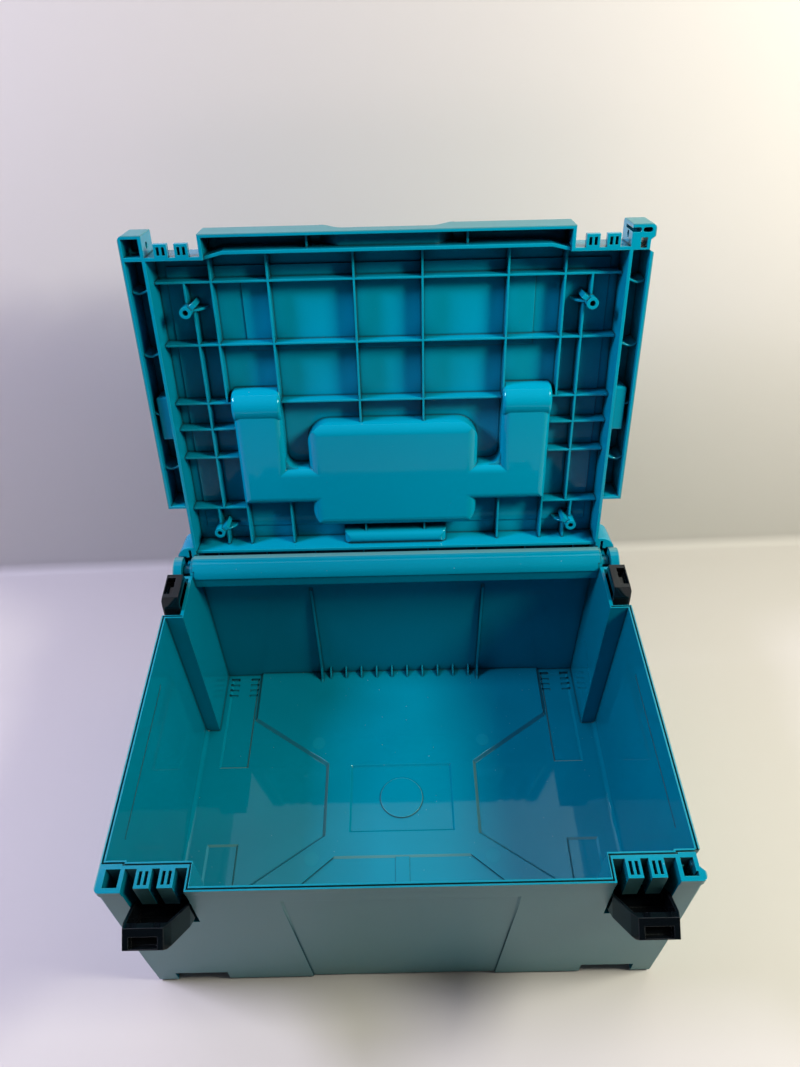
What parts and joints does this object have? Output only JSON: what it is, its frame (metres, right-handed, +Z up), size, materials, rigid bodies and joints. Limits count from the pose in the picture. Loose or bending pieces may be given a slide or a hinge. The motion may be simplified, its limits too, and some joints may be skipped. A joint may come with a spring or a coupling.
{
  "type": "hard tool case",
  "caption": "Stackable hard plastic tool case, open, with a ribbed hinged lid, black side-pocket latches, and a folding handle set into the lid.",
  "frame": {"origin": "middle of the case's footprint, on the plane that its feet stand on", "axes": "+Z up, +X to the right of someone facing the front latches, +Y from the front to the lid's hinge"},
  "size_m": [0.395, 0.4264, 0.4484],
  "materials": {
    "shell": "satin moulded",
    "latch": "semi-gloss moulded",
    "handle": "fine texture"
  },
  "bodies": {
    "tub": {"tub": "shell"},
    "lid": {"lid": "shell"},
    "handle": {"handle": "handle"},
    "latch_front_left": {"latch_front_left": "latch"},
    "latch_front_right": {"latch_front_right": "latch"},
    "latch_side_left": {"latch_side_left": "latch"},
    "latch_side_right": {"latch_side_right": "latch"}
  },
  "joints": [
    {"name": "lid_hinge", "type": "hinge", "parent": "tub", "child": "lid", "pos_m": [0, 0.14, 0.172], "axis": [1, 0, 0], "range_deg": [0, 104]},
    {"name": "handle_pivot", "type": "hinge", "parent": "lid", "child": "handle", "pos_m": [0, 0.20351, 0.30767], "axis": [1, 0, 0], "range_deg": [0, 90]},
    {"name": "latch_front_left_pivot", "type": "hinge", "parent": "tub", "child": "latch_front_left", "pos_m": [-0.1595, -0.1375, 0.14], "axis": [-1, 0, 0], "range_deg": [0, 41]},
    {"name": "latch_front_right_pivot", "type": "hinge", "parent": "tub", "child": "latch_front_right", "pos_m": [0.1595, -0.1375, 0.14], "axis": [-1, 0, 0], "range_deg": [0, 41]},
    {"name": "latch_side_left_pivot", "type": "hinge", "parent": "tub", "child": "latch_side_left", "pos_m": [-0.1875, 0.1025, 0.14], "axis": [0, -1, 0], "range_deg": [0, 41]},
    {"name": "latch_side_right_pivot", "type": "hinge", "parent": "tub", "child": "latch_side_right", "pos_m": [0.1875, 0.1025, 0.14], "axis": [0, 1, 0], "range_deg": [0, 41]}
  ]
}
